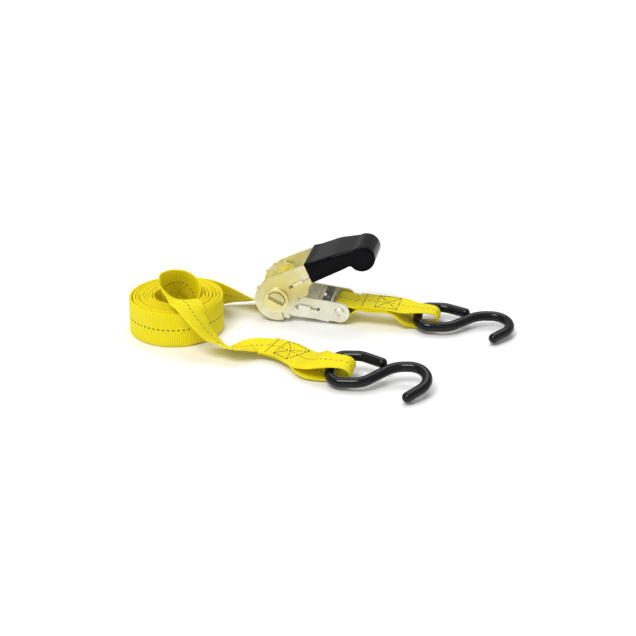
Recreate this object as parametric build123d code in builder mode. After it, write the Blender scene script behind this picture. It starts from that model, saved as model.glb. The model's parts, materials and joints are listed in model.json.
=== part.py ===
"""Ratchet tie down: a 25 mm ratchet buckle, its rolled webbing strap and two coated S hooks.

Millimetres, +Z up, floor at Z = 0. The origin is the centre of the bottom of the whole
object's box. X runs from the rolled strap towards the hooks.
"""

import os
from math import acos, atan2, cos, degrees, hypot, radians, sin, sqrt

from build123d import *

# ---------------------------------------------------------------- driving dimensions
# Layout: where the spool axis stands, and which way the buckle points.
spool_x = -25.0
spool_y = 62.0
spool_z = 17.7
buckle_yaw = -11.0  # heading of the buckle from spool to end bolt, seen from above
short_strap_yaw = -14.0
short_hook_yaw = -5.0
long_loop_yaw = -18.0
long_hook_yaw = -9.0
base_tilt = -10.0  # the base slopes down to its end bolt
handle_tilt = 28.0  # the handle stands open above the floor

# Webbing
web_width = 25.4
web_thick = 1.2
wrap_slack = 0.95  # the short strap's end loop is loose round the sleeve
side_gap = 0.3  # room left between parts that move past each other

# Spool, a shaft made of two half round bars with a slot for the webbing
spool_r = 6.2
bore_r = 6.26
slot_width = 3.0
slot_turn = -25.0
winding_r = 8.5

# Plates, as distances from the buckle's middle plane
base_in = 13.1
plate_thick = 1.5
wheel_in = 14.85
wheel_thick = 1.8
handle_in = 16.9
handle_thick = 1.4
collar_in = 18.5
collar_thick = 1.6
collar_r = 9.3
collar_gap_r = 7.3  # open crescent round the upper spool half

disc_r = 16.0  # round ends of base plates and handle plates about the spool
wheel_tip_r = 17.0
wheel_root_r = 14.0
wheel_teeth = 12
nose_gap = 0.4  # pawl noses rest this far outside the tooth tips

# Base
bolt_u = 46.6  # spool axis to end bolt
base_end_r = 7.5
bolt_r = 2.5
bolt_clear = 0.06
sleeve_r = 4.0
head_r = 3.9
head_thick = 1.7
socket_r = 2.1
floor_low = -10.0
floor_thick = 1.4

# Lock pawl, slides in the base plates
lock_v = -1.3
pawl_thick = 2.0
lock_back = 30.0
lock_wall_u = 37.3

# Drive pawl, slides in the handle plates on a line turned from the handle's own
drive_turn = 6.0
drive_v = 3.2
drive_back = 30.0
stay_u = 41.5
stay_r = 1.5

# Handle and its vinyl grip
grip_start = 30.5
grip_out = 20.8
channel_end = 55.0
taper_start = 50.0  # the grip narrows from here to its round end
taper_out = 13.5
grip_web = 10.8  # underside of the grip's top wall
bulb_u = 71.5
bulb_v = 2.0
bulb_r = 9.2
cam_r = 10.5

# Coated S hooks
core_r = 3.1
coat_r = 3.6
eye_flat = 4.5  # half of the straight bar at the eye's end
eye_corner_r = 9.0
loop_in = 5.2  # half the room between the plies of a sewn loop
fold_u = 9.0  # fold's centre beyond the hook's bar
loop_half = 7.2  # half width of the gathered webbing inside the eye

# Rolled strap
roll_r_out = 34.8
roll_r_in = 17.0
roll_x = -100.0
roll_y = 35.9
disc_clear = 18.0  # the run starts to twist outside the buckle's plates
run_merge = 10.0  # the run lies on the roll over its last stretch


# ---------------------------------------------------------------- frames
def heading(angle):
    """Unit vector in the floor plane."""
    return Vector(cos(radians(angle)), sin(radians(angle)), 0)


def side_frame(origin, yaw, pitch=0.0, roll=0.0):
    """Plane whose x runs along a heading, y upwards and z sideways to the near side."""
    along = heading(yaw)
    up = Vector(0, 0, 1)
    near = along.cross(up)
    along_p = along * cos(radians(pitch)) + up * sin(radians(pitch))
    near_r = near * cos(radians(roll)) - along_p.cross(near) * -sin(radians(roll))
    return Plane(origin=origin, x_dir=along_p, z_dir=near_r)


layout_shift = Vector(-3.9, 1.074, 0)
spool_axis = Vector(spool_x, spool_y, spool_z)
base_frame = side_frame(spool_axis, buckle_yaw, base_tilt)
handle_frame = side_frame(spool_axis, buckle_yaw, handle_tilt)
drive_frame = side_frame(spool_axis, buckle_yaw, handle_tilt + drive_turn)
slot_frame = side_frame(spool_axis, buckle_yaw, slot_turn)
bolt_centre = base_frame.from_local_coords(Vector(bolt_u, 0, 0))
strap_frame = side_frame(bolt_centre, short_strap_yaw)


def save(part, label):
    """Labels a finished piece and writes it, with the layout moved to the object's origin."""
    part = Location(layout_shift) * part
    part.label = label
    export_step(part, f"parts/{label}.step")
    return part


os.makedirs("parts", exist_ok=True)

# ---------------------------------------------------------------- base
slot_from = 13.0
slot_to = 32.0
for name, side in (("near", 1), ("far", -1)):
    with BuildPart() as base_plate:
        with BuildSketch(base_frame.offset(side * base_in)):
            Circle(disc_r)
            with Locations((bolt_u, 0)):
                Circle(base_end_r)
            with BuildLine():
                Polyline((10, 5), (bolt_u, base_end_r), (bolt_u, -base_end_r), (8, -12), (0, 0), close=True)
            make_face()
            Circle(bore_r, mode=Mode.SUBTRACT)
            with Locations((bolt_u, 0)):
                Circle(bolt_r + bolt_clear, mode=Mode.SUBTRACT)
            with Locations(((slot_from + slot_to) / 2, lock_v)):
                Rectangle(slot_to - slot_from, pawl_thick + 0.3, mode=Mode.SUBTRACT)
        extrude(amount=side * plate_thick)
        chamfer(base_plate.edges().filter_by(GeomType.LINE).group_by(Edge.length)[-1], 0.25)
    save(base_plate.part, f"base_plate_{name}")

with BuildPart() as base_floor:
    with BuildSketch(base_frame):
        with Locations((30, floor_low + floor_thick / 2)):
            Rectangle(20, floor_thick)
        with Locations((lock_wall_u + floor_thick / 2, (floor_low + 1.4) / 2)):
            Rectangle(floor_thick, 1.4 - floor_low)
    extrude(amount=base_in, both=True)
save(base_floor.part, "base_floor")

with BuildPart() as end_bolt:
    with BuildSketch(base_frame.offset(-16.4)):
        with Locations((bolt_u, 0)):
            Circle(bolt_r)
    extrude(amount=16.4 + base_in + plate_thick)
    with BuildSketch(base_frame.offset(base_in + plate_thick)):
        with Locations((bolt_u, 0)):
            Circle(head_r)
    extrude(amount=head_thick)
    with BuildSketch(base_frame.offset(base_in + plate_thick + head_thick)):
        with Locations((bolt_u, 0)):
            RegularPolygon(socket_r, 6)
    extrude(amount=-1.3, mode=Mode.SUBTRACT)
    rim = end_bolt.edges().filter_by(GeomType.CIRCLE).group_by(SortBy.RADIUS)[-1]
    chamfer(rim.sort_by(Axis(bolt_centre, base_frame.z_dir))[-1], 0.7)
save(end_bolt.part, "end_bolt")

with BuildPart() as end_nut:
    with BuildSketch(base_frame.offset(-base_in - plate_thick)):
        with Locations((bolt_u, 0)):
            RegularPolygon(4.4, 6)
            Circle(bolt_r, mode=Mode.SUBTRACT)
    extrude(amount=-head_thick)
save(end_nut.part, "end_nut")

with BuildPart() as end_sleeve:
    with BuildSketch(base_frame):
        with Locations((bolt_u, 0)):
            Circle(sleeve_r)
            Circle(bolt_r + bolt_clear, mode=Mode.SUBTRACT)
    extrude(amount=base_in, both=True)
save(end_sleeve.part, "end_sleeve")


# ---------------------------------------------------------------- spool and wheels
for name, side in (("upper", 1), ("lower", -1)):
    with BuildPart() as spool_half:
        with BuildSketch(slot_frame):
            Circle(spool_r)
            with Locations((0, -side * (2 * spool_r - slot_width / 2))):
                Rectangle(4 * spool_r, 4 * spool_r, mode=Mode.SUBTRACT)
        extrude(amount=collar_in + collar_thick + 0.2, both=True)
    save(spool_half.part, f"spool_half_{name}")

with BuildPart() as spool_winding:
    with BuildSketch(base_frame):
        Circle(winding_r)
        Circle(spool_r, mode=Mode.SUBTRACT)
    extrude(amount=web_width / 2, both=True)
save(spool_winding.part, "spool_winding")

tooth = 360 / wheel_teeth
for name, side in (("near", 1), ("far", -1)):
    with BuildPart() as wheel:
        with BuildSketch(slot_frame.offset(side * wheel_in)):
            with BuildLine():
                for number in range(wheel_teeth):
                    tip = Vector(wheel_tip_r, 0).rotate(Axis.Z, number * tooth)
                    root = Vector(wheel_root_r, 0).rotate(Axis.Z, number * tooth + 4)
                    ramp = Vector(wheel_tip_r, 0).rotate(Axis.Z, (number + 1) * tooth - 5)
                    next_tip = Vector(wheel_tip_r, 0).rotate(Axis.Z, (number + 1) * tooth)
                    Line(tip, root)
                    Line(root, ramp)
                    Line(ramp, next_tip)
            make_face()
        extrude(amount=side * wheel_thick)
        with BuildSketch(slot_frame.offset(side * wheel_in)):
            Circle(spool_r)
            Rectangle(3 * spool_r, slot_width, mode=Mode.SUBTRACT)
        extrude(amount=side * wheel_thick, mode=Mode.SUBTRACT)
    save(wheel.part, f"ratchet_wheel_{name}")

for name, side in (("near", 1), ("far", -1)):
    with BuildPart() as collar:
        with BuildSketch(slot_frame.offset(side * collar_in)):
            Circle(collar_r)
            Circle(spool_r, mode=Mode.SUBTRACT)
            with BuildSketch(mode=Mode.PRIVATE) as gap:
                Circle(collar_gap_r)
                with Locations((0, -collar_gap_r + slot_width / 2)):
                    Rectangle(3 * collar_gap_r, 2 * collar_gap_r, mode=Mode.SUBTRACT)
            add(gap.sketch, mode=Mode.SUBTRACT)
        extrude(amount=side * collar_thick)
        rim = collar.edges().filter_by(GeomType.CIRCLE).group_by(Edge.length)[-1]
        fillet(rim, 0.5)
    save(collar.part, f"hub_collar_{name}")


# ---------------------------------------------------------------- lock pawl
nose_r = wheel_tip_r + nose_gap
lock_nose = sqrt(nose_r**2 - (abs(lock_v) - pawl_thick / 2) ** 2)
with BuildPart() as lock_pawl:
    with BuildSketch(base_frame.offset(-wheel_in - wheel_thick)):
        with Locations(((lock_nose + 25.5) / 2, lock_v)):
            Rectangle(25.5 - lock_nose, pawl_thick)
    extrude(amount=2 * (wheel_in + wheel_thick))
    with BuildSketch(base_frame):
        with Locations(((24 + lock_back) / 2, lock_v)):
            Rectangle(lock_back - 24, pawl_thick)
        with BuildLine():
            Polyline(
                (lock_back - 1.6, lock_v),
                (lock_back, lock_v),
                (lock_back, 3.0),
                (lock_back + 1.5, 4.3),
                (lock_back + 0.5, 5.4),
                (lock_back - 1.6, 3.6),
                close=True,
            )
        make_face()
    extrude(amount=base_in - side_gap, both=True)
save(lock_pawl.part, "lock_pawl")


def coil_spring(plane, radius, wire, pitch, length):
    """Compression spring that starts on a plane and runs along its normal."""
    with BuildPart() as spring:
        with BuildLine() as coil:
            Helix(pitch, length, radius)
        with BuildSketch(Plane(coil.line @ 0, z_dir=coil.line % 0)):
            Circle(wire / 2)
        sweep(path=coil.line, is_frenet=True)
    return plane.location * spring.part


spring_wire = 0.7
lock_spring_from = lock_back + 0.45
lock_spring_length = lock_wall_u - lock_spring_from - 0.5
for name, side in (("near", 1), ("far", -1)):
    seat = base_frame.from_local_coords(Vector(lock_spring_from, lock_v, side * 7.0))
    spring_plane = Plane(origin=seat, x_dir=base_frame.y_dir, z_dir=base_frame.x_dir)
    lock_spring = coil_spring(spring_plane, 2.0, spring_wire, lock_spring_length / 5, lock_spring_length)
    save(lock_spring, f"lock_spring_{name}")


# ---------------------------------------------------------------- handle
# The handle plate's round end is cut back over this sector, so that the lock pawl can drop in.
cam_reach = 40.0
cam_corners = [Vector(cam_reach, 0).rotate(Axis.Z, angle) for angle in (-99, -64, -29)]
tang_low = 2.8
tang_end = 52.0
bridge_start = 42.0
for name, side in (("near", 1), ("far", -1)):
    with BuildPart() as handle_plate:
        with BuildSketch(handle_frame.offset(side * handle_in)):
            Circle(disc_r)
            with BuildLine():
                Polyline((0, 0), *cam_corners, close=True)
            make_face(mode=Mode.SUBTRACT)
            Circle(cam_r)
            with BuildLine():
                Polyline(
                    (-4, disc_r - 0.5),
                    (4, 17.0),
                    (grip_start, 16.0),
                    (36, grip_web),
                    (tang_end, grip_web - 1.5),
                    (tang_end, tang_low),
                    (grip_start, 1.0),
                    (27, -0.6),
                    (23.5, -5.6),
                    (19, -6.3),
                    (12, -4),
                    (0, 0),
                    close=True,
                )
            make_face()
            Circle(bore_r, mode=Mode.SUBTRACT)
        extrude(amount=side * handle_thick)
        with BuildSketch(drive_frame.offset(side * handle_in)):
            with Locations(((13.5 + 31.5) / 2, drive_v)):
                Rectangle(18.0, pawl_thick + 0.3, mode=Mode.ADD)
            with Locations((stay_u, drive_v)):
                Circle(stay_r)
        extrude(amount=side * handle_thick, mode=Mode.SUBTRACT)
    save(handle_plate.part, f"handle_plate_{name}")

with BuildPart() as handle_stay:
    with BuildSketch(drive_frame):
        with Locations((stay_u, drive_v)):
            Circle(stay_r)
    extrude(amount=handle_in + handle_thick, both=True)
save(handle_stay.part, "handle_stay")

with BuildPart() as handle_bridge:
    with BuildSketch(handle_frame):
        with BuildLine():
            Polyline(
                (bridge_start, grip_web - 0.6),
                (tang_end, grip_web - 1.6),
                (tang_end, grip_web - 3.0),
                (bridge_start, grip_web - 2.0),
                close=True,
            )
        make_face()
    extrude(amount=handle_in, both=True)
save(handle_bridge.part, "handle_bridge")

with BuildPart() as handle_grip:
    with BuildSketch(handle_frame.offset(-grip_out)):
        with BuildLine():
            Polyline(
                (grip_start, 1.0),
                (grip_start + 1.2, 17.4),
                (38, 15.8),
                (54, 14.4),
                (bulb_u - 1.5, bulb_v + bulb_r - 0.2),
                (bulb_u - 1.5, 1.6),
                close=True,
            )
        make_face()
        with Locations((bulb_u, bulb_v)):
            Circle(bulb_r)
    extrude(amount=2 * grip_out)
    cheeks = handle_grip.faces().sort_by(Axis(spool_axis, handle_frame.z_dir))
    chamfer(cheeks[0].edges() + cheeks[-1].edges(), 1.5)
    with BuildSketch(Plane(origin=handle_frame.origin, x_dir=handle_frame.x_dir, z_dir=handle_frame.y_dir)):
        for side in (1, -1):
            with BuildLine():
                Polyline(
                    (taper_start, side * grip_out),
                    (bulb_u + 12, side * taper_out),
                    (bulb_u + 12, side * (grip_out + 1)),
                    (taper_start, side * (grip_out + 1)),
                    close=True,
                )
            make_face()
    extrude(amount=30, both=True, mode=Mode.SUBTRACT)
    with BuildSketch(handle_frame):
        with BuildLine():
            Polyline(
                (grip_start - 1, -9),
                (grip_start - 1, 16.2),
                (grip_start + 0.3, 16.2),
                (36, grip_web),
                (tang_end, grip_web - 1.5),
                (tang_end, tang_low - 0.4),
                (channel_end, tang_low - 0.4),
                (channel_end, -9),
                close=True,
            )
        make_face()
    extrude(amount=handle_in + handle_thick, both=True, mode=Mode.SUBTRACT)
save(handle_grip.part, "handle_grip")

# ---------------------------------------------------------------- drive pawl
drive_nose = sqrt(nose_r**2 - (drive_v - pawl_thick / 2) ** 2) + 0.1
ear_out = 19.4
with BuildPart() as drive_pawl:
    with BuildSketch(drive_frame.offset(-ear_out)):
        with Locations(((drive_nose + 25) / 2, drive_v)):
            Rectangle(25 - drive_nose, pawl_thick)
    extrude(amount=2 * ear_out)
    with BuildSketch(drive_frame):
        with BuildLine():
            Polyline(
                (24, drive_v - pawl_thick / 2),
                (drive_back, drive_v - pawl_thick / 2),
                (drive_back, drive_v + 3.4),
                (drive_back - 1.5, drive_v + 3.4),
                (drive_back - 1.5, drive_v + pawl_thick / 2),
                (24, drive_v + pawl_thick / 2),
                close=True,
            )
        make_face()
    extrude(amount=handle_in - side_gap, both=True)
save(drive_pawl.part, "drive_pawl")

drive_spring_length = stay_u - stay_r - drive_back - 1.0
drive_seat = drive_frame.from_local_coords(Vector(drive_back + 0.5, drive_v, 0))
drive_plane = Plane(origin=drive_seat, x_dir=drive_frame.y_dir, z_dir=drive_frame.x_dir)
drive_spring = coil_spring(drive_plane, 2.6, 0.8, drive_spring_length / 5, drive_spring_length)
save(drive_spring, "drive_spring")

# ---------------------------------------------------------------- hooks
short_hook_u = 56.5  # end bolt to the bar of the short strap's hook
hook_rise = 7.3
eye_offset = 1.8  # the webbing lies towards the far side of the eye
short_bar = strap_frame.from_local_coords(Vector(short_hook_u, 0, 0))
short_bar = Vector(short_bar.X, short_bar.Y, hook_rise) + strap_frame.z_dir * eye_offset
long_bar = Vector(10.2, -48.0, 8.3)


def hook_plane(origin, yaw, side_tilt, end_tilt):
    """Plane of an S hook: x along the hook, y towards its far side, tilted off the floor."""
    along = heading(yaw) * cos(radians(end_tilt)) + Vector(0, 0, sin(radians(end_tilt)))
    across = Vector(0, 0, 1).cross(heading(yaw))
    far = across * cos(radians(side_tilt)) + Vector(0, 0, sin(radians(side_tilt)))
    return Plane(origin=origin, x_dir=along, z_dir=along.cross(far))


def hook_rod(plane, radius):
    """Round rod along the hook's centre line, from the middle of the eye's bar both ways."""
    with BuildPart() as rod:
        with BuildLine(plane) as closing_side:
            bar = Line((0, 0), (0, eye_flat))
            corner = JernArc(bar @ 1, bar % 1, eye_corner_r, -90)
            bend = JernArc(corner @ 1 + corner % 1 * 7.0, corner % 1, 16, -25)
            Line(corner @ 1, bend @ 0)
            Line(bend @ 1, bend @ 1 + bend % 1 * 12.5)
        with BuildSketch(Plane(closing_side.line @ 0, z_dir=closing_side.line % 0)):
            Circle(radius)
        sweep(path=closing_side.line)
        with BuildLine(plane) as hook_side:
            bar = Line((0, 0), (0, -eye_flat))
            corner = JernArc(bar @ 1, bar % 1, eye_corner_r, 90)
            first = JernArc(corner @ 1 + corner % 1 * 8.0, corner % 1, 16, 40)
            Line(corner @ 1, first @ 0)
            second = JernArc(first @ 1 + first % 1 * 13, first % 1, 20, -40)
            Line(first @ 1, second @ 0)
            throat = JernArc(second @ 1 + second % 1 * 2.5, second % 1, 13, -135)
            Line(second @ 1, throat @ 0)
            Line(throat @ 1, throat @ 1 + throat % 1 * 11)
        with BuildSketch(Plane(hook_side.line @ 0, z_dir=hook_side.line % 0)):
            Circle(radius)
        sweep(path=hook_side.line)
    ends = [closing_side.line @ 1, hook_side.line @ 1]
    return rod.part, ends


def save_hook(name, plane):
    core, ends = hook_rod(plane, core_r)
    skin = hook_rod(plane, coat_r)[0]
    for end in ends:
        skin = skin + Pos(end) * Sphere(coat_r)
    save(core, f"{name}_core")
    save(skin - core, f"{name}_coating")


short_hook_plane = hook_plane(short_bar, short_hook_yaw, 7.0, 0.6)
long_hook_plane = hook_plane(long_bar, long_hook_yaw, 15.0, 3.4)
save_hook("short_hook", short_hook_plane)
save_hook("long_hook", long_hook_plane)


# ---------------------------------------------------------------- webbing
# Short strap: round the end bolt's sleeve, three plies sewn together, a loop in the hook.
wrap_r = sleeve_r + wrap_slack + web_thick / 2
ply = loop_in + web_thick / 2
short_v = hook_rise - bolt_centre.Z
lower_v = short_v - ply
seam_from = 13.0
seam_to = 38.0
seam_v = 3.6  # the sewn plies lie level with the top of the sleeve
with BuildPart() as short_strap:
    with BuildSketch(strap_frame):
        with BuildLine():
            fold = CenterArc((short_hook_u + fold_u, short_v), ply, -90, 180)
            top = Line(fold @ 1, (short_hook_u - 6, short_v + ply))
            slope = Line(top @ 1, (seam_to, seam_v + 1.45))
            upper = Line(slope @ 1, (seam_from, seam_v + 1.45))
            over = Line(upper @ 1, (2.0, wrap_r - 0.3))
        trace(line_width=web_thick)
        with BuildLine():
            under = Line(fold @ 0, (short_hook_u - 6, lower_v))
            drop = Line(under @ 1, (seam_to, seam_v - 1.45))
            bottom = Line(drop @ 1, (seam_from, seam_v - 1.45))
            CenterArc((0, 0), wrap_r, 70, 230)
            Line((wrap_r * cos(radians(-60)), wrap_r * sin(radians(-60))), bottom @ 1)
        trace(line_width=web_thick)
        with Locations(((seam_from + seam_to) / 2, seam_v)):
            Rectangle(seam_to - seam_from, 3.0)
        Circle(wrap_r - web_thick / 2, mode=Mode.SUBTRACT)
    extrude(amount=web_width / 2, both=True)
    # Gathered inside the hook's eye: the webbing's sides are taken away there.
    for side in (1, -1):
        with BuildSketch(strap_frame.offset(side * loop_half)):
            with Locations((short_hook_u + 5.5, short_v)):
                Rectangle(25.0, 24.0)
        extrude(amount=side * web_width, mode=Mode.SUBTRACT)
save(short_strap.part, "short_strap_webbing")

# Long strap: roll, the run to the spool, the riser out of the roll, the tail and its sewn loop.
run_v = -(winding_r + side_gap + web_thick / 2)
run_z = spool_z + run_v
run_start = Vector(spool_x, spool_y, run_z)
run_clear = run_start - heading(buckle_yaw) * disc_clear
roll_centre = Vector(roll_x, roll_y, 0)
outer_turn_r = roll_r_out - web_thick / 2
roll_apart = hypot(run_clear.X - roll_x, run_clear.Y - roll_y)
roll_bearing = degrees(atan2(run_clear.Y - roll_y, run_clear.X - roll_x))
touch_bearing = roll_bearing + degrees(acos(outer_turn_r / roll_apart))
run_length = sqrt(roll_apart**2 - outer_turn_r**2)
run_heading = heading(touch_bearing + 90)
across = heading(touch_bearing)

with BuildPart() as strap_roll:
    with BuildSketch(Plane(roll_centre)):
        Circle(roll_r_out)
        Circle(roll_r_in, mode=Mode.SUBTRACT)
    extrude(amount=web_width)
save(strap_roll.part, "strap_roll")


def ribbon(stations, thickness=web_thick):
    """Flat webbing through stations: a centre, the direction of the webbing's width, its width."""
    centres = [Vector(*centre) for centre, side, width in stations]
    sections = []
    for index, (centre, side, width) in enumerate(stations):
        before = centres[max(index - 1, 0)]
        after = centres[min(index + 1, len(centres) - 1)]
        travel = (after - before).normalized()
        wide = Vector(*side).normalized()
        wide = (wide - travel * wide.dot(travel)).normalized()
        sections.append((Plane(origin=centres[index], x_dir=wide, z_dir=travel), width))
    with BuildPart() as band:
        for pair in zip(sections, sections[1:]):
            for plane, width in pair:
                with BuildSketch(plane):
                    Rectangle(width, thickness)
            loft(ruled=True)
    return band.part


def clear_of(piece, *others):
    """A piece cut back where it would run into others."""
    for other in others:
        piece = piece - other
    return piece.solids().sort_by(SortBy.VOLUME)[-1]


def twisted(distance, turn, rise):
    """Station of the run at a distance past the buckle's plates, turned about the run."""
    centre = run_clear + run_heading * distance + Vector(0, 0, rise)
    side = across * cos(radians(turn)) - Vector(0, 0, 1) * sin(radians(turn))
    return (centre.X, centre.Y, centre.Z), (side.X, side.Y, side.Z), web_width


roll_mid = web_width / 2 - run_z
buckle_side = -base_frame.z_dir
run_stations = [
    (tuple(run_start), tuple(buckle_side), web_width),
    twisted(0, 20, 0),
    twisted(8, 33, 0.15 * roll_mid),
    twisted(20, 50, 0.65 * roll_mid),
    twisted(32, 70, 0.95 * roll_mid),
    twisted(run_length - run_merge, 84, roll_mid),
]
save(clear_of(ribbon(run_stations), strap_roll.part), "strap_run")

# The strap's inner end stands up in the roll, leans over and comes down over the near rim.
riser_stations = [
    ((-85.8, 29.3, 13.0), (0, 0, 1), web_width),
    ((-86.0, 38.5, 18.5), (0.1, -0.15, 0.98), web_width),
    ((-89.5, 44.5, 25.5), (0.2, -0.3, 0.93), web_width),
    ((-96.6, 46.8, 30.5), (0.25, -0.4, 0.87), web_width),
    ((-104.5, 45.0, 31.0), (0.15, -0.3, 0.93), web_width),
    ((-110.2, 37.0, 29.5), (-0.05, -0.12, 0.99), web_width),
    ((-107.3, 27.5, 28.0), (-0.3, -0.2, 0.93), web_width),
    ((-100.5, 19.0, 29.2), (-0.5, -0.42, 0.75), web_width),
    ((-92.4, 11.5, 31.0), (-0.77, -0.6, 0.15), web_width),
    ((-85.4, -0.2, 27.0), (-0.62, -0.71, 0.32), web_width),
    ((-78.1, -6.2, 19.5), (-0.29, -0.94, 0.18), web_width),
    ((-71.6, -7.4, 12.0), (-0.08, -0.97, 0.21), web_width),
    ((-65.0, -9.8, 7.8), (-0.05, -0.9, 0.43), web_width),
]
strap_riser = clear_of(ribbon(riser_stations), strap_roll.part)
save(strap_riser, "strap_riser")

# From there along the floor, edge up at first, to the sewn loop in the long strap's hook.
loop_frame = side_frame(long_bar, long_loop_yaw, 0.0, 10.0).offset(-eye_offset)
loop_back = -5.0
loop_gap = 0.3
loop_low = loop_frame.from_local_coords(Vector(loop_back - loop_gap, -ply, 0))
loop_high = loop_frame.from_local_coords(Vector(loop_back - loop_gap, ply, 0))
loop_side = loop_frame.z_dir
loop_width = 2 * loop_half
tail_stations = [
    riser_stations[-1],
    ((-58.0, -13.5, 7.0), (0, -0.92, 0.38), web_width),
    ((-50.0, -11.0, 6.2), (0.05, -0.97, 0.22), web_width),
    ((-42.6, -7.6, 5.6), (-0.1, -1, 0.05), web_width),
    ((-33.6, -7.6, 5.0), (-0.3, -0.95, 0), web_width),
    ((-20.0, -15.0, 4.8), (-0.55, -0.83, 0), web_width),
    ((-9.0, -28.0, 5.0), (-0.6, -0.8, 0), web_width),
    ((-3.0, -39.0, 3.2), (-0.55, -0.83, -0.05), 21.0),
    (tuple(loop_low), tuple(loop_side), loop_width),
]
strap_tail = clear_of(ribbon(tail_stations), strap_riser)
save(strap_tail, "strap_tail")

ply_rise = Vector(0, 0, web_thick + 0.1)
upper_stations = [
    (tuple(Vector(*centre) + ply_rise), side, width) for centre, side, width in tail_stations[4:7]
]
upper_stations.append(((-3.0, -38.5, 9.0), (-0.55, -0.83, -0.08), 21.0))
upper_stations.append((tuple(loop_high), tuple(loop_side), loop_width))
strap_upper_ply = clear_of(ribbon(upper_stations), strap_tail)
save(strap_upper_ply, "strap_upper_ply")

with BuildPart() as strap_fold:
    with BuildSketch(loop_frame):
        with BuildLine():
            turn = CenterArc((fold_u, 0), ply, -90, 180)
            Line(turn @ 1, (loop_back, ply))
            Line((loop_back, -ply), turn @ 0)
        trace(line_width=web_thick)
    extrude(amount=loop_half, both=True)
save(clear_of(strap_fold.part, strap_tail, strap_upper_ply), "strap_fold")
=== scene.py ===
"""Looks of the ratchet tie down: webbing, stitching, steel, vinyl grip, springs, floor and light."""
import json
import math

import bmesh
import bpy
import numpy as np
from mathutils import Matrix, Vector


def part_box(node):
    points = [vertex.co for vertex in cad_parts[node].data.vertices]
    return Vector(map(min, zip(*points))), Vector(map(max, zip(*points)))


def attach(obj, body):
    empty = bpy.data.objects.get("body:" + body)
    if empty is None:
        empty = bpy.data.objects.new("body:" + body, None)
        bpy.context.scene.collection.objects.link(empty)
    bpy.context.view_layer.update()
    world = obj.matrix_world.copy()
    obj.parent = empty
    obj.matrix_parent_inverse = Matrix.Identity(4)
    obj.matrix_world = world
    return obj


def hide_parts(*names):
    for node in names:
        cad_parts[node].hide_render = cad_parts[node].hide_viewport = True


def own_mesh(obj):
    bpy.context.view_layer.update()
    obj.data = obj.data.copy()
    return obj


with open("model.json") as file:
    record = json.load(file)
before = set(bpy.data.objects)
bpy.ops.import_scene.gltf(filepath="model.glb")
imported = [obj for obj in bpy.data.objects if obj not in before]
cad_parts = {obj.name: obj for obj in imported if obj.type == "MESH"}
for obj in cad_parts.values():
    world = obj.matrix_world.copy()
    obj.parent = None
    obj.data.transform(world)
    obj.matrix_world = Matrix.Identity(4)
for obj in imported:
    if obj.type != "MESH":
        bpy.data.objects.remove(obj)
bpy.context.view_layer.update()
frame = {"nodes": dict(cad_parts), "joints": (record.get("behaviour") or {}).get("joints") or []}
MM = 0.001
UP = Vector((0, 0, 1))
joints = {joint["name"]: joint for joint in frame["joints"]}


def place(joint_name):
    """A joint's position in metres."""
    return Vector(joints[joint_name]["pos_m"])


def heading(angle):
    """A level direction, in degrees from +X."""
    return Vector((math.cos(math.radians(angle)), math.sin(math.radians(angle)), 0))


# ---------------------------------------------------------------- camera
CAMERA_LENS = 79.1
CAMERA_DISTANCE = 1.03
CAMERA_ELEVATION = math.radians(24.8)
LOOK_AT = Vector((-0.0021, 0.0520, 0.0))

camera_data = bpy.data.cameras.new("camera")
camera_data.lens = CAMERA_LENS
camera_data.sensor_width = 36
camera_data.clip_end = 20
camera = bpy.data.objects.new("camera", camera_data)
bpy.context.scene.collection.objects.link(camera)
camera_side = Vector((0, -math.cos(CAMERA_ELEVATION), math.sin(CAMERA_ELEVATION)))
camera.location = LOOK_AT + camera_side * CAMERA_DISTANCE
camera.rotation_euler = (math.pi / 2 - CAMERA_ELEVATION, 0, 0)
bpy.context.scene.camera = camera
bpy.context.scene.view_settings.view_transform = "Standard"


# ---------------------------------------------------------------- materials
def new_material(name, **values):
    """A material and its principled shader, with fixed values on the shader's own sockets."""
    material = bpy.data.materials.new(name)
    material.use_nodes = True
    shader = material.node_tree.nodes["Principled BSDF"]
    for socket, value in values.items():
        shader.inputs[socket.replace("_", " ")].default_value = value
    return material, material.node_tree.nodes, material.node_tree.links, shader


def math_node(nodes, links, operation, first, second=None, clamp=False):
    """One maths node; its inputs are numbers or sockets."""
    node = nodes.new("ShaderNodeMath")
    node.operation = operation
    node.use_clamp = clamp
    for index, value in enumerate((first, second)):
        if value is None:
            continue
        if isinstance(value, (int, float)):
            node.inputs[index].default_value = value
        else:
            links.new(value, node.inputs[index])
    return node.outputs[0]


def noise(nodes, links, scale, detail=3.0, rough=0.5, coordinate="Object"):
    """Noise texture's factor, from one of the shader's texture coordinates."""
    source = nodes.new("ShaderNodeTexCoord")
    texture = nodes.new("ShaderNodeTexNoise")
    texture.inputs["Scale"].default_value = scale
    texture.inputs["Detail"].default_value = detail
    texture.inputs["Roughness"].default_value = rough
    links.new(source.outputs[coordinate], texture.inputs["Vector"])
    return texture.outputs["Fac"]


def ramp(nodes, links, source, stops):
    """Colour ramp's colour over a factor; stops are (position, colour)."""
    node = nodes.new("ShaderNodeValToRGB")
    elements = node.color_ramp.elements
    while len(elements) < len(stops):
        elements.new(0.5)
    for element, (position, colour) in zip(elements, stops):
        element.position = position
        element.color = (*colour, 1.0)
    links.new(source, node.inputs["Fac"])
    return node.outputs["Color"]


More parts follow.
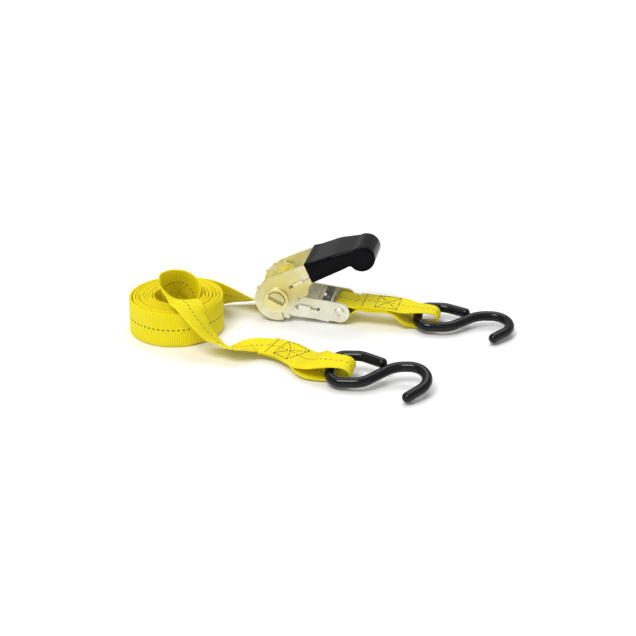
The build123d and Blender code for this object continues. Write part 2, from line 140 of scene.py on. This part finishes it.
def mix_colour(nodes, links, factor, first, second, blend="MIX"):
    """Mix of two colours; each input is a number, a colour or a socket."""
    node = nodes.new("ShaderNodeMix")
    node.data_type = "RGBA"
    node.blend_type = blend
    for index, value in ((0, factor), (6, first), (7, second)):
        if isinstance(value, (int, float)):
            node.inputs[index].default_value = value
        elif isinstance(value, tuple):
            node.inputs[index].default_value = (*value, 1.0)
        else:
            links.new(value, node.inputs[index])
    return node.outputs[2]


def bump(nodes, links, shader, height, strength, distance):
    """Raises a shader's surface by a height socket."""
    node = nodes.new("ShaderNodeBump")
    node.inputs["Strength"].default_value = strength
    node.inputs["Distance"].default_value = distance
    links.new(height, node.inputs["Height"])
    links.new(node.outputs["Normal"], shader.inputs["Normal"])


RIB_PITCH = 1.25 * MM
WARP_PITCH = 0.95 * MM
DASH_PITCH = 3.6 * MM
DASH_PART = 0.46
TRACER_HALF = 0.42 * MM


def webbing_material():
    """Yellow polyester: cross ribs, warp yarns, a dark dashed tracer yarn down the middle.

    UV holds metres: U across the webbing from its middle, V along it.
    """
    material, nodes, links, shader = new_material(
        "webbing", Roughness=0.6, Specular_IOR_Level=0.25
    )
    uv = nodes.new("ShaderNodeUVMap")
    uv.uv_map = "webbing"
    split = nodes.new("ShaderNodeSeparateXYZ")
    links.new(uv.outputs["UV"], split.inputs["Vector"])
    across, along = split.outputs["X"], split.outputs["Y"]

    warp_phase = math_node(nodes, links, "MULTIPLY", across, 2 * math.pi / WARP_PITCH)
    warp = math_node(nodes, links, "SINE", warp_phase)
    offset = math_node(nodes, links, "MULTIPLY", warp, 0.9)
    rib_phase = math_node(nodes, links, "MULTIPLY", along, 2 * math.pi / RIB_PITCH)
    rib_phase = math_node(nodes, links, "ADD", rib_phase, offset)
    rib = math_node(nodes, links, "SINE", rib_phase)
    weave = math_node(nodes, links, "MULTIPLY", rib, 0.4)
    weave = math_node(nodes, links, "ADD", weave, math_node(nodes, links, "MULTIPLY", warp, 0.12))
    weave = math_node(nodes, links, "ADD", weave, 0.5)

    blotch = noise(nodes, links, 55.0, 4.0, 0.6)
    yarn = mix_colour(nodes, links, weave, (0.78, 0.60, 0.001), (1.0, 0.93, 0.008))
    tone = ramp(nodes, links, blotch, [(0.3, (0.92, 0.90, 0.85)), (0.7, (1.0, 1.0, 1.0))])
    yarn = mix_colour(nodes, links, 1.0, yarn, tone, "MULTIPLY")

    distance = math_node(nodes, links, "ABSOLUTE", across)
    near_middle = math_node(nodes, links, "LESS_THAN", distance, TRACER_HALF)
    step = math_node(nodes, links, "DIVIDE", along, DASH_PITCH)
    step = math_node(nodes, links, "FRACT", step)
    dash = math_node(nodes, links, "LESS_THAN", step, DASH_PART)
    mark = math_node(nodes, links, "MULTIPLY", near_middle, dash)
    colour = mix_colour(nodes, links, mark, yarn, (0.02, 0.018, 0.012))
    links.new(colour, shader.inputs["Base Color"])
    bump(nodes, links, shader, weave, 0.8, 0.3 * MM)
    return material


def wound_material():
    """The webbing wound on the spool: its ribs lie along the spool's axis."""
    material, nodes, links, shader = new_material(
        "wound_webbing", Roughness=0.6, Specular_IOR_Level=0.25
    )
    source = nodes.new("ShaderNodeTexCoord")
    ribs = nodes.new("ShaderNodeTexWave")
    ribs.bands_direction = "Z"
    ribs.inputs["Scale"].default_value = 0.314 / RIB_PITCH
    links.new(source.outputs["Object"], ribs.inputs["Vector"])
    colour = ramp(nodes, links, ribs.outputs["Fac"], [(0.2, (0.66, 0.50, 0.001)), (0.8, (0.95, 0.86, 0.008))])
    links.new(colour, shader.inputs["Base Color"])
    bump(nodes, links, shader, ribs.outputs["Fac"], 0.6, 0.3 * MM)
    return material


def thread_material(name, dark, light):
    material, nodes, links, shader = new_material(name, Roughness=0.6, Sheen_Weight=0.2)
    fibre = noise(nodes, links, 2500.0, 2.0)
    links.new(ramp(nodes, links, fibre, [(0.3, dark), (0.7, light)]), shader.inputs["Base Color"])
    bump(nodes, links, shader, fibre, 0.4, 0.1 * MM)
    return material


def steel_material(name, warm, pale, roughness=0.3, scratch=1.0):
    """Plated steel: colour drifts between two plating tones, with fine brushing and wear."""
    material, nodes, links, shader = new_material(name, Metallic=1.0)
    drift = noise(nodes, links, 70.0, 3.0, 0.6)
    links.new(ramp(nodes, links, drift, [(0.35, warm), (0.65, pale)]), shader.inputs["Base Color"])
    grain = noise(nodes, links, 900.0, 4.0, 0.7)
    level = nodes.new("ShaderNodeMapRange")
    level.inputs["To Min"].default_value = roughness - 0.07
    level.inputs["To Max"].default_value = roughness + 0.12
    links.new(grain, level.inputs["Value"])
    links.new(level.outputs["Result"], shader.inputs["Roughness"])
    bump(nodes, links, shader, grain, 0.12 * scratch, 0.15 * MM)
    return material


def vinyl_material(name, gloss):
    """Dipped vinyl: black, glossy, softly uneven."""
    material, nodes, links, shader = new_material(
        name, Roughness=0.13, Specular_IOR_Level=gloss
    )
    cloud = noise(nodes, links, 160.0, 3.0, 0.55)
    tone = ramp(nodes, links, cloud, [(0.3, (0.0015, 0.0015, 0.002)), (0.75, (0.004, 0.004, 0.006))])
    links.new(tone, shader.inputs["Base Color"])
    ripple = noise(nodes, links, 320.0, 2.0, 0.5)
    bump(nodes, links, shader, ripple, 0.1, 0.5 * MM)
    return material


webbing = webbing_material()
wound = wound_material()
brown_thread = thread_material("brown_thread", (0.05, 0.02, 0.008), (0.13, 0.05, 0.02))
olive_thread = thread_material("olive_thread", (0.05, 0.045, 0.012), (0.14, 0.12, 0.03))
plated = steel_material("plated_steel", (0.74, 0.69, 0.44), (0.84, 0.83, 0.70))
plated_pale = steel_material("pale_plated_steel", (0.80, 0.78, 0.60), (0.88, 0.88, 0.80), 0.27)
# Golden steel is the yellower plating; on the far handle plate, far ratchet wheel and handle bridge its extra
# yellow is painted reflection of the yellow webbing beside them.
golden = steel_material("golden_steel", (0.86, 0.78, 0.34), (0.93, 0.89, 0.58), 0.42)
bright = steel_material("bright_steel", (0.88, 0.87, 0.82), (0.96, 0.96, 0.94), 0.3)
spring_steel = steel_material("spring_steel", (0.50, 0.49, 0.46), (0.66, 0.66, 0.66), 0.3)
grip_vinyl = vinyl_material("grip_vinyl", 0.07)
hook_vinyl = vinyl_material("hook_vinyl", 0.3)

# The far handle plate and far ratchet wheel take golden steel while their near twins take plain plated steel:
# the far side's extra yellow is painted reflection of the yellow webbing.
NODE_MATERIALS = {
    plated: ("handle_plate_near", "ratchet_wheel_near"),
    golden: ("handle_plate_far", "handle_bridge", "hub_collar_near", "hub_collar_far", "ratchet_wheel_far",
             "spool_half_lower"),
    plated_pale: ("base_plate_near", "base_plate_far", "base_floor", "end_bolt", "end_nut", "end_sleeve",
                  "spool_half_upper"),
    bright: ("lock_pawl", "drive_pawl", "handle_stay"),
    spring_steel: ("lock_spring_near", "lock_spring_far", "drive_spring", "short_hook_core",
                   "long_hook_core"),
    grip_vinyl: ("handle_grip",),
    hook_vinyl: ("short_hook_coating", "long_hook_coating"),
    wound: ("spool_winding",),
}
for material, names in NODE_MATERIALS.items():
    for name in names:
        node = frame["nodes"][name]
        if not node.data.materials:
            node.data.materials.append(material)
        for index in range(len(node.material_slots)):
            node.material_slots[index].material = material


# ---------------------------------------------------------------- webbing geometry
WIDTH = 25.4 * MM
THICK = 1.15 * MM
ROW_STEP = RIB_PITCH / 2
RIB_DEPTH = 0.05 * MM
# Upper half of the section, as shares of half the width and of the thickness; the selvages are rounded.
SECTION = [(-1.0, 0.0), (-0.985, 0.36), (-0.93, 0.5), (-0.6, 0.5), (-0.2, 0.5),
           (0.2, 0.5), (0.6, 0.5), (0.93, 0.5), (0.985, 0.36), (1.0, 0.0)]
SECTION_RING = SECTION + [(x, -y) for x, y in reversed(SECTION[1:-1])]


def smooth_path(stations, step):
    """Rows of centre, width direction and width at even steps along a smooth line through stations."""
    centres = np.array([list(s[0]) for s in stations], float)
    sides = np.array([list(Vector(s[1]).normalized()) for s in stations], float)
    widths = np.array([s[2] if len(s) > 2 else WIDTH for s in stations], float)
    packed = np.hstack([centres, sides, widths[:, None]])
    ends = np.vstack([2 * packed[0] - packed[1], packed, 2 * packed[-1] - packed[-2]])
    rows = []
    for index in range(1, len(ends) - 2):
        gap = np.linalg.norm(ends[index + 1][:3] - ends[index][:3])
        count = max(2, int(gap / step * 2))
        knots = [0.0]
        for before, after in zip(ends[index - 1:index + 2], ends[index:index + 3]):
            knots.append(knots[-1] + max(np.linalg.norm(after[:3] - before[:3]), 1e-6) ** 0.5)
        t0, t1, t2, t3 = knots
        p0, p1, p2, p3 = ends[index - 1:index + 3]
        for t in np.linspace(t1, t2, count, endpoint=False):
            a1 = (t1 - t) / (t1 - t0) * p0 + (t - t0) / (t1 - t0) * p1
            a2 = (t2 - t) / (t2 - t1) * p1 + (t - t1) / (t2 - t1) * p2
            a3 = (t3 - t) / (t3 - t2) * p2 + (t - t2) / (t3 - t2) * p3
            b1 = (t2 - t) / (t2 - t0) * a1 + (t - t0) / (t2 - t0) * a2
            b2 = (t3 - t) / (t3 - t1) * a2 + (t - t1) / (t3 - t1) * a3
            rows.append((t2 - t) / (t2 - t1) * b1 + (t - t1) / (t2 - t1) * b2)
    rows.append(packed[-1])
    rows = np.array(rows)
    lengths = np.concatenate([[0], np.cumsum(np.linalg.norm(np.diff(rows[:, :3], axis=0), axis=1))])
    total = lengths[-1]
    at = np.linspace(0, total, int(round(total / step)) + 1)
    even = np.stack([np.interp(at, lengths, rows[:, column]) for column in range(7)], axis=1)
    return even, at


def framed(even):
    """Tangent, width direction and normal at each row."""
    centres = even[:, :3]
    tangent = np.gradient(centres, axis=0)
    tangent /= np.linalg.norm(tangent, axis=1)[:, None]
    side = even[:, 3:6]
    side = side - tangent * np.sum(side * tangent, axis=1)[:, None]
    side /= np.linalg.norm(side, axis=1)[:, None]
    return centres, tangent, side, np.cross(tangent, side)


def webbing_mesh(name, stations, body, replaced):
    """One length of webbing through its stations, ribbed, with UV in metres."""
    even, at = smooth_path(stations, ROW_STEP)
    centres, tangent, side, normal = framed(even)
    ring = np.array(SECTION_RING)
    count, around = len(centres), len(ring)
    rib = 1 + (RIB_DEPTH / THICK) * np.where(np.arange(count) % 2 == 0, 1.0, -1.0)
    half = even[:, 6] / 2
    x = half[:, None] * ring[None, :, 0]
    y = THICK * ring[None, :, 1] * rib[:, None]
    points = centres[:, None] + side[:, None] * x[..., None] + normal[:, None] * y[..., None]
    vertices = points.reshape(-1, 3)
    faces = []
    for row in range(count - 1):
        base, above = row * around, (row + 1) * around
        for k in range(around):
            after = (k + 1) % around
            faces.append((base + k, base + after, above + after, above + k))
    faces.append(tuple(reversed(range(around))))
    faces.append(tuple((count - 1) * around + k for k in range(around)))
    mesh = bpy.data.meshes.new(name)
    mesh.from_pydata(vertices.tolist(), [], faces)
    layer = mesh.uv_layers.new(name="webbing")
    flat_u = ring[:, 0] * WIDTH / 2
    loops = np.zeros(len(mesh.loops), int)
    mesh.loops.foreach_get("vertex_index", loops)
    uv = np.stack([flat_u[loops % around], at[loops // around]], axis=1)
    layer.data.foreach_set("uv", uv.ravel())
    mesh.polygons.foreach_set("use_smooth", np.ones(len(mesh.polygons), bool))
    mesh.materials.append(webbing)
    mesh.update()
    piece = bpy.data.objects.new(name, mesh)
    bpy.context.scene.collection.objects.link(piece)
    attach(piece, body)
    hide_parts(*replaced)
    return piece, float(at[-1]), (centres, tangent, side, normal, at)


STITCH_LENGTH = 2.1 * MM
STITCH_PITCH = STITCH_LENGTH * 1.18
THREAD_R = 0.24 * MM
THREAD_SIDES = 6


def stitches(name, lines, body, material, rest_on):
    """Thread stitches along lines given as (across, along) in metres on a length of webbing."""
    # rest_on is the webbing's rows and its face: 1 along the normal, -1 against it.
    centres, tangent, side, normal, at, face = rest_on
    mesh = bpy.data.meshes.new(name)
    build = bmesh.new()
    for (u0, v0), (u1, v1) in lines:
        run = math.hypot(u1 - u0, v1 - v0)
        number = max(1, int(round(run / STITCH_PITCH)))
        for index in range(number):
            middle = (index + 0.5) / number
            u = u0 + (u1 - u0) * middle
            v = v0 + (v1 - v0) * middle
            row = int(np.searchsorted(at, v).clip(0, len(at) - 1))
            step_u, step_v = (u1 - u0) / run, (v1 - v0) / run
            along = Vector(side[row]) * step_u + Vector(tangent[row]) * step_v
            out = Vector(normal[row]) * face
            spot = Vector(centres[row]) + Vector(side[row]) * u + out * (THICK / 2 + 0.6 * THREAD_R)
            sideways = along.cross(out)
            turn = Matrix((sideways, out, along)).transposed()
            rings = []
            for share in (-0.5, -0.38, -0.15, 0.15, 0.38, 0.5):
                thick = THREAD_R * (0.45 if abs(share) == 0.5 else 1.0)
                sink = -THREAD_R * 1.5 * (abs(share) * 2) ** 4
                ring = []
                for corner in range(THREAD_SIDES):
                    angle = corner * 2 * math.pi / THREAD_SIDES
                    x, y = math.cos(angle) * thick, math.sin(angle) * thick + sink
                    local = Vector((x, y, share * STITCH_LENGTH))
                    ring.append(build.verts.new(spot + turn @ local))
                rings.append(ring)
            for first, second in zip(rings, rings[1:]):
                for corner in range(THREAD_SIDES):
                    after = (corner + 1) % THREAD_SIDES
                    build.faces.new((first[corner], first[after], second[after], second[corner]))
            build.faces.new(list(reversed(rings[0])))
            build.faces.new(rings[-1])
    bmesh.ops.recalc_face_normals(build, faces=build.faces)
    build.to_mesh(mesh)
    build.free()
    mesh.materials.append(material)
    for polygon in mesh.polygons:
        polygon.use_smooth = True
    piece = bpy.data.objects.new(name, mesh)
    bpy.context.scene.collection.objects.link(piece)
    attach(piece, body)
    return piece


STITCH_HALF = 10.3 * MM


def box_lines(start, end):
    """A sewn box with a cross in it, between two distances along a strap."""
    near, far = -STITCH_HALF, STITCH_HALF
    corners = [(near, start), (far, start), (far, end), (near, end)]
    sides = list(zip(corners, corners[1:] + corners[:1]))
    return sides + [((near, start), (far, end)), ((far, start), (near, end))]


HEM_HALF = 11.6 * MM


def hem_lines(along):
    """One stitched line across a strap."""
    return [((-HEM_HALF, along), (HEM_HALF, along))]


# ---------------------------------------------------------------- long strap
roll_low, roll_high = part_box("strap_roll")
roll_centre = Vector(((roll_low.x + roll_high.x) / 2, (roll_low.y + roll_high.y) / 2, 0))
roll_radius = (roll_high.x - roll_low.x) / 2
LAYOUT = roll_centre - Vector((-100.0, 35.9, 0)) * MM  # the part's own layout, moved to its origin


def spot(x, y, z):
    """A point of the layout, given in millimetres."""
    return LAYOUT + Vector((x, y, z)) * MM


spool = place("handle_swing")
bolt = place("short_strap_swing")
short_bar = place("short_hook_swing")
long_bar = place("long_hook_swing")
buckle_yaw = math.degrees(math.atan2(bolt.y - spool.y, bolt.x - spool.x))
buckle_along = heading(buckle_yaw)
buckle_far = UP.cross(buckle_along)

WINDING_R = 8.5 * MM
run_z = spool.z - WINDING_R - 0.3 * MM - THICK / 2
run_start = Vector((spool.x, spool.y, run_z)) + buckle_along * 2 * MM
run_clear = Vector((spool.x, spool.y, run_z)) - buckle_along * 18 * MM
outer_turn = roll_radius - THICK / 2 - 0.1 * MM
reach = run_clear - roll_centre
touch = math.degrees(math.atan2(reach.y, reach.x))
touch += math.degrees(math.acos(outer_turn / math.hypot(reach.x, reach.y)))
run_length = math.sqrt(reach.x ** 2 + reach.y ** 2 - outer_turn ** 2)
run_along = heading(touch + 90)
run_far = heading(touch)
rise = WIDTH / 2 - run_z


def run_station(distance, turn, lift):
    """The run between buckle and roll, turned about its own line."""
    side = run_far * math.cos(math.radians(turn)) - UP * math.sin(math.radians(turn))
    return run_clear + run_along * distance + UP * lift, side


first_turn = math.radians(8)
stations = [
    (run_start, buckle_far),
    ((run_start + run_clear) / 2, buckle_far * math.cos(first_turn) - UP * math.sin(first_turn)),
    run_station(0, 20, 0),
    run_station(8 * MM, 33, 0.15 * rise),
    run_station(20 * MM, 50, 0.65 * rise),
    run_station(32 * MM, 70, 0.95 * rise),
    run_station(run_length - 8 * MM, 86, rise),
]

INNER_R = 16.4 * MM
INNER_BEARING = 300.0
TURNS = 13
SPIRAL_STEP = 10  # degrees
# Loose winding: the turns wander in and out, ride up a little and lean.
WANDER = 0.10 * MM
RIDE_UP = 0.35 * MM
RIDE_FROM = 20  # the outer stretch, up to this step, stands on the floor
LEAN = 1.2  # degrees
end_bearing = INNER_BEARING + 360 * TURNS
spiral_steps = int((end_bearing - touch) / SPIRAL_STEP)
for index in range(spiral_steps):
    part = index / spiral_steps
    bearing = touch + (end_bearing - touch) * part
    radius = outer_turn + (INNER_R - outer_turn) * part
    radius += WANDER * math.sin(math.radians(bearing * 0.73))
    lift = WIDTH / 2
    if index > RIDE_FROM:
        lift += RIDE_UP * (1 + math.sin(math.radians(bearing * 0.31 + 40)))
    lean = LEAN * math.sin(math.radians(bearing * 0.47))
    out = heading(bearing)
    side = -UP * math.cos(math.radians(lean)) + out * math.sin(math.radians(lean))
    stations.append((roll_centre + out * radius + UP * lift, side))

riser = [
    ((-85.8, 29.3, 13.0), (0, 0, 1)),
    ((-86.0, 38.5, 18.5), (0.1, -0.15, 0.98)),
    ((-89.5, 44.5, 25.5), (0.2, -0.3, 0.93)),
    ((-96.6, 46.8, 30.5), (0.25, -0.4, 0.87)),
    ((-104.5, 45.0, 31.0), (0.15, -0.3, 0.93)),
    ((-110.2, 37.0, 29.5), (-0.05, -0.12, 0.99)),
    ((-107.3, 27.5, 28.0), (-0.3, -0.2, 0.93)),
    ((-100.5, 19.0, 29.2), (-0.5, -0.42, 0.75)),
    ((-92.4, 11.5, 31.0), (-0.77, -0.6, 0.15)),
    ((-85.4, -0.2, 27.0), (-0.62, -0.71, 0.32)),
    ((-78.1, -6.2, 19.5), (-0.29, -0.94, 0.18)),
    ((-71.6, -7.4, 12.0), (-0.08, -0.97, 0.21)),
    ((-65.0, -9.8, 7.8), (-0.05, -0.9, 0.43)),
    ((-58.0, -13.5, 7.0), (0, -0.92, 0.38)),
    ((-50.0, -11.0, 6.2), (0.05, -0.97, 0.22)),
    ((-42.6, -7.6, 5.6), (-0.1, -1, 0.05)),
    ((-33.6, -7.6, 5.0), (-0.3, -0.95, 0)),
    ((-20.0, -15.0, 4.8), (-0.55, -0.83, 0)),
    ((-9.0, -28.0, 5.0), (-0.6, -0.8, 0)),
]
stations += [(spot(*centre), -Vector(side)) for centre, side in riser]

LOOP_YAW = -18.0
LOOP_ROLL = math.radians(10.0)
loop_along = heading(LOOP_YAW)
loop_far = UP.cross(loop_along) * math.cos(LOOP_ROLL) + UP * math.sin(LOOP_ROLL)
loop_up = loop_along.cross(loop_far)
loop_middle = long_bar + loop_far * 1.8 * MM
PLY = 5.75 * MM
FOLD = 9.0 * MM


def loop_station(along, up, width):
    """A place round the long strap's hook, with its width in millimetres."""
    return loop_middle + loop_along * along + loop_up * up, loop_far, width * MM


stations.append((spot(-3.0, -39.0, 3.4), Vector((0.55, 0.83, 0.05)), 23.5 * MM))
stations += [
    loop_station(-5 * MM, -PLY, 17.5),
    loop_station(2 * MM, -PLY, 15.5),
    loop_station(FOLD, -PLY, 14.8),
]
for angle in (-60, -30, 0, 30, 60):
    turn = math.radians(angle)
    stations.append(loop_station(FOLD + PLY * math.cos(turn), PLY * math.sin(turn), 14.8))
stations += [
    loop_station(FOLD, PLY, 14.8),
    loop_station(1 * MM, PLY * 0.98, 16.0),
    loop_station(-6 * MM, PLY * 0.92, 20.0),
    (spot(-3.0, -38.5, 10.0), Vector((0.55, 0.83, 0.08)), 24.5 * MM),
    (spot(-9.0, -28.0, 6.3), Vector((0.6, 0.8, 0))),
    (spot(-20.0, -15.0, 6.05), Vector((0.55, 0.83, 0))),
    (spot(-33.6, -7.6, 6.25), Vector((0.3, 0.95, 0))),
]
long_strap, long_length, long_rows = webbing_mesh(
    "long_strap", stations, "base",
    ["strap_run", "strap_roll", "strap_riser", "strap_tail", "strap_fold", "strap_upper_ply"],
)
hem = long_length - 4.0 * MM
long_stitching = stitches(
    "long_strap_stitching", box_lines(long_length - 28 * MM, long_length - 11 * MM) + hem_lines(hem),
    "base", brown_thread, (*long_rows, -1),
)

# ---------------------------------------------------------------- short strap
SHORT_YAW = -14.0
short_along = heading(SHORT_YAW)
short_far = UP.cross(short_along)
short_reach = 56.5 * MM
rise_v = short_bar.z - bolt.z
low_v = rise_v - PLY
WRAP_R = 5.55 * MM
SEAM_FROM = 13.0 * MM
SEAM_TO = 38.0 * MM


def short_station(along, up, width=25.4):
    """A place along the short strap, with its width in millimetres."""
    return bolt + short_along * along + UP * up, short_far, width * MM


SEAM_V = 3.6 * MM
short = [
    short_station(SEAM_FROM - 1 * MM, SEAM_V + 1.35 * MM),
    short_station(25 * MM, SEAM_V + 1.3 * MM),
    short_station(SEAM_TO, SEAM_V + 1.15 * MM),
    short_station(short_reach - 9 * MM, rise_v + PLY + 0.4 * MM, 24.5),
    short_station(short_reach - 2 * MM, rise_v + PLY + 0.1 * MM, 18.5),
    short_station(short_reach + FOLD, rise_v + PLY, 15.0),
]
for angle in (60, 30, 0, -30, -60):
    turn = math.radians(angle)
    end, height = short_reach + FOLD + PLY * math.cos(turn), rise_v + PLY * math.sin(turn)
    short.append(short_station(end, height, 14.8))
short += [
    short_station(short_reach + FOLD, low_v, 15.0),
    short_station(short_reach - 2 * MM, low_v, 17.0),
    short_station(short_reach - 9 * MM, low_v + 3 * MM, 24.0),
    short_station(SEAM_TO, SEAM_V - 1.35 * MM),
    short_station(25 * MM, SEAM_V - 1.3 * MM),
    short_station(SEAM_FROM, SEAM_V - 1.6 * MM),
    short_station(8 * MM, -2.2 * MM),
]
for angle in range(-70, -270, -20):
    turn = math.radians(angle)
    short.append(short_station(WRAP_R * math.cos(turn), WRAP_R * math.sin(turn)))
short += [
    short_station(6 * MM, WRAP_R * 0.82),
    short_station(SEAM_FROM, SEAM_V + 0.05 * MM),
    short_station(25 * MM, SEAM_V),
    short_station(SEAM_TO - 2 * MM, SEAM_V - 0.1 * MM),
]
short_strap, short_length, short_rows = webbing_mesh(
    "short_strap", short, "short_strap", ["short_strap_webbing"]
)
short_stitching = stitches(
    "short_strap_stitching", box_lines(13.5 * MM, 30 * MM) + hem_lines(4.0 * MM),
    "short_strap", olive_thread, (*short_rows, 1),
)

# ---------------------------------------------------------------- grip
def moulded(name, source, voxel, rounds, body, material):
    """A CAD node's shape with its edges melted round, as dipped vinyl sets."""
    copy = bpy.data.objects.new(name, frame["nodes"][source].data.copy())
    bpy.context.scene.collection.objects.link(copy)
    remesh = copy.modifiers.new("skin", "REMESH")
    remesh.mode = "VOXEL"
    remesh.voxel_size = voxel
    smooth = copy.modifiers.new("round", "SMOOTH")
    smooth.factor = 0.5
    smooth.iterations = rounds
    shape = bpy.data.meshes.new_from_object(copy.evaluated_get(bpy.context.evaluated_depsgraph_get()))
    copy.modifiers.clear()
    copy.data = shape
    shape.materials.clear()
    shape.materials.append(material)
    shape.polygons.foreach_set("use_smooth", np.ones(len(shape.polygons), bool))
    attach(copy, body)
    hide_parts(source)
    return copy


moulded("grip", "handle_grip", 0.7 * MM, 22, "handle", grip_vinyl)

# ---------------------------------------------------------------- springs
def pressed_spring(name, source, body):
    """A copy of a CAD spring, with its own mesh, in place of the CAD node."""
    piece = bpy.data.objects.new(name, frame["nodes"][source].data.copy())
    bpy.context.scene.collection.objects.link(piece)
    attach(piece, body)
    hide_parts(source)
    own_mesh(piece)


pressed_spring("lock_coil_near", "lock_spring_near", "base")
pressed_spring("lock_coil_far", "lock_spring_far", "base")
pressed_spring("drive_coil", "drive_spring", "handle")

# ---------------------------------------------------------------- floor and light
floor_mesh = bpy.data.meshes.new("floor")
FLOOR_HALF = 6.0
floor_corners = [(x * FLOOR_HALF, y * FLOOR_HALF, 0) for x, y in ((-1, -1), (1, -1), (1, 1), (-1, 1))]
floor_mesh.from_pydata(floor_corners, [], [(0, 1, 2, 3)])
floor = bpy.data.objects.new("floor", floor_mesh)
bpy.context.scene.collection.objects.link(floor)
floor.location.z = -0.3 * MM
floor_material, _, _, _ = new_material("floor", Base_Color=(0.93, 0.93, 0.93, 1), Roughness=0.9)
floor_mesh.materials.append(floor_material)

world = bpy.data.worlds.new("world")
world.use_nodes = True
world.node_tree.nodes["Background"].inputs["Color"].default_value = (1, 1, 1, 1)
world.node_tree.nodes["Background"].inputs["Strength"].default_value = 0.55
bpy.context.scene.world = world


def soft_sun(name, azimuth, elevation, spread, power):
    """Broad distant light: it comes from an azimuth and elevation in degrees."""
    data = bpy.data.lights.new(name, "SUN")
    data.angle = math.radians(spread)
    data.energy = power
    light = bpy.data.objects.new(name, data)
    level = math.cos(math.radians(elevation))
    towards = heading(azimuth) * level + UP * math.sin(math.radians(elevation))
    light.rotation_euler = towards.to_track_quat("Z", "Y").to_euler()
    bpy.context.scene.collection.objects.link(light)


soft_sun("key", 235, 58, 26, 1.7)
soft_sun("top", 80, 66, 40, 0.85)
